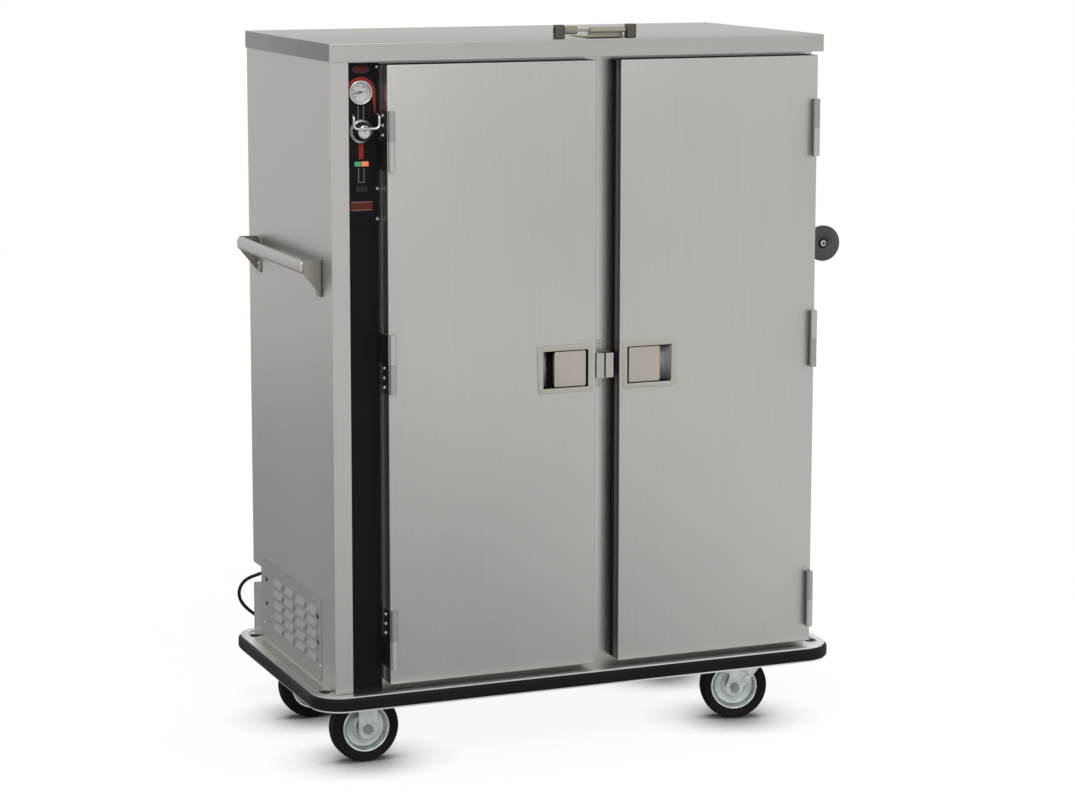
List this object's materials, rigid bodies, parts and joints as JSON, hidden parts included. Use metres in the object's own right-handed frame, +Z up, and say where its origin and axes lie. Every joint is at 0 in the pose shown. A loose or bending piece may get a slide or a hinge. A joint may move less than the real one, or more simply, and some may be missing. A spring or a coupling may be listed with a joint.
{
  "type": "heated holding cabinet",
  "caption": "Upright stainless heated holding cabinet on casters with two hinged doors, paddle latches, a side control column, push handles and a wraparound bumper.",
  "frame": {"origin": "on the floor under the middle of the cabinet's outer box, cord left out", "axes": "+Z up, -Y is the front with the doors, +X is to the right seen from the front"},
  "size_m": [1.262, 0.781, 1.596],
  "materials": {
    "stainless": "satin",
    "warm_steel": "satin",
    "zinc_plate": "satin",
    "bright_wire": "polished",
    "aluminium_trim": "satin",
    "black_panel": "satin",
    "bumper_rubber": "matte",
    "grey_rubber": "matte",
    "tyre_rubber": "matte",
    "gasket_rubber": "matte",
    "cord_rubber": "matte",
    "insulation": "matte",
    "galvanised": "satin",
    "element_sheath": "matte",
    "gauge_case": "polished",
    "needle_black": "satin",
    "knob_plastic": "satin",
    "lens_amber": "gloss",
    "switch_plastic": "gloss"
  },
  "bodies": {
    "cabinet": {"deck_plate": "stainless", "bumper_channel": "aluminium_trim", "bumper_strip": "bumper_rubber", "left_side_panel": "stainless", "body_wrap": "stainless", "top_cap": "stainless", "front_frame": "stainless", "louvre_panel": "stainless", "door_gaskets": "gasket_rubber", "push_handles": "stainless", "door_bumper": "grey_rubber", "cabinet_screws": "stainless", "inner_liner": "stainless", "air_panels": "stainless", "wire_shelves": "bright_wire", "wall_insulation": "insulation", "hinge_frame_leaves": "stainless", "latch_strikes": "stainless", "latch_brackets": "warm_steel", "control_panel": "black_panel", "column_cover": "black_panel", "thermometer_case": "gauge_case", "knob_guard": "bright_wire", "pilot_lights": "lens_amber", "blower_unit": "galvanised", "heating_element": "element_sheath", "caster_mounts": "zinc_plate", "cord_gland": "cord_rubber", "power_cord": "cord_rubber", "cord_coil": "cord_rubber", "power_plug": "cord_rubber"},
    "left_door": {"left_door_shell": "stainless", "left_door_pan": "stainless", "left_door_core": "insulation", "left_hinge_leaves": "stainless", "left_latch_housing": "warm_steel"},
    "right_door": {"right_door_shell": "stainless", "right_door_pan": "stainless", "right_door_core": "insulation", "right_hinge_leaves": "stainless", "right_latch_housing": "warm_steel"},
    "left_paddle": {"left_latch_paddle": "stainless"},
    "right_paddle": {"right_latch_paddle": "stainless"},
    "transport_latch": {"transport_latch": "warm_steel"},
    "gauge_needle": {"thermometer_needle": "needle_black"},
    "thermostat_knob": {"thermostat_knob": "knob_plastic"},
    "switch_rocker": {"switch_rocker": "switch_plastic"},
    "blower_wheel": {"blower_wheel": "galvanised"},
    "front_left_wheel": {"front_left_tyre": "tyre_rubber", "front_left_rim": "zinc_plate"},
    "rear_left_wheel": {"rear_left_tyre": "tyre_rubber", "rear_left_rim": "zinc_plate"},
    "front_right_caster": {"front_right_fork": "zinc_plate"},
    "rear_right_caster": {"rear_right_fork": "zinc_plate"},
    "front_right_wheel": {"front_right_tyre": "tyre_rubber", "front_right_rim": "zinc_plate"},
    "rear_right_wheel": {"rear_right_tyre": "tyre_rubber", "rear_right_rim": "zinc_plate"},
    "front_right_brake": {"front_right_brake": "zinc_plate"},
    "rear_right_brake": {"rear_right_brake": "zinc_plate"}
  },
  "joints": [
    {"name": "left_door_swing", "type": "hinge", "parent": "cabinet", "child": "left_door", "pos_m": [-0.451, -0.306, 0.857], "axis": [0, 0, -1], "range_deg": [0, 180]},
    {"name": "right_door_swing", "type": "hinge", "parent": "cabinet", "child": "right_door", "pos_m": [0.543, -0.306, 0.857], "axis": [0, 0, 1], "range_deg": [0, 211]},
    {"name": "left_paddle_pull", "type": "hinge", "parent": "left_door", "child": "left_paddle", "pos_m": [-0.0095, -0.2916, 0.855], "axis": [0, 0, 1], "range_deg": [0, 25], "stiffness_Nm_per_rad": 0.3},
    {"name": "right_paddle_pull", "type": "hinge", "parent": "right_door", "child": "right_paddle", "pos_m": [0.1015, -0.2916, 0.855], "axis": [0, 0, -1], "range_deg": [0, 25], "stiffness_Nm_per_rad": 0.3},
    {"name": "transport_latch_flip", "type": "hinge", "parent": "cabinet", "child": "transport_latch", "pos_m": [0.043, -0.292, 1.584], "axis": [1, 0, 0], "range_deg": [0, 271]},
    {"name": "gauge_needle_turn", "type": "hinge", "parent": "cabinet", "child": "gauge_needle", "pos_m": [-0.50175, -0.2535, 1.461], "axis": [0, 1, 0], "range_deg": [0, 200]},
    {"name": "thermostat_turn", "type": "hinge", "parent": "cabinet", "child": "thermostat_knob", "pos_m": [-0.50175, -0.268, 1.38], "axis": [0, 1, 0], "range_deg": [0, 300]},
    {"name": "switch_rock", "type": "hinge", "parent": "cabinet", "child": "switch_rocker", "pos_m": [-0.50175, -0.26, 1.259], "axis": [0, 0, -1], "range_deg": [0, 16]},
    {"name": "blower_spin", "type": "hinge", "parent": "cabinet", "child": "blower_wheel", "pos_m": [-0.4625, -0.137, 0.282], "axis": [1, 0, 0], "continuous": true},
    {"name": "front_left_roll", "type": "hinge", "parent": "cabinet", "child": "front_left_wheel", "pos_m": [-0.481, -0.185, 0.076], "axis": [0, 1, 0], "continuous": true},
    {"name": "front_right_swivel", "type": "hinge", "parent": "cabinet", "child": "front_right_caster", "pos_m": [0.457, -0.197, 0.161], "axis": [0, 0, 1], "continuous": true},
    {"name": "front_right_roll", "type": "hinge", "parent": "front_right_caster", "child": "front_right_wheel", "pos_m": [0.4142, -0.18309, 0.076], "axis": [0.309, 0.9511, 0], "continuous": true},
    {"name": "front_right_brake_press", "type": "hinge", "parent": "front_right_caster", "child": "front_right_brake", "pos_m": [0.43014, -0.22465, 0.1], "axis": [0.309, 0.9511, 0], "range_deg": [0, 10]},
    {"name": "rear_left_roll", "type": "hinge", "parent": "cabinet", "child": "rear_left_wheel", "pos_m": [-0.481, 0.185, 0.076], "axis": [0, 1, 0], "continuous": true},
    {"name": "rear_right_swivel", "type": "hinge", "parent": "cabinet", "child": "rear_right_caster", "pos_m": [0.457, 0.197, 0.161], "axis": [0, 0, 1], "continuous": true},
    {"name": "rear_right_roll", "type": "hinge", "parent": "rear_right_caster", "child": "rear_right_wheel", "pos_m": [0.41244, 0.20326, 0.076], "axis": [0.1392, 0.9903, 0], "continuous": true},
    {"name": "rear_right_brake_press", "type": "hinge", "parent": "rear_right_caster", "child": "rear_right_brake", "pos_m": [0.43535, 0.1651, 0.1], "axis": [0.1392, 0.9903, 0], "range_deg": [0, 10]}
  ]
}
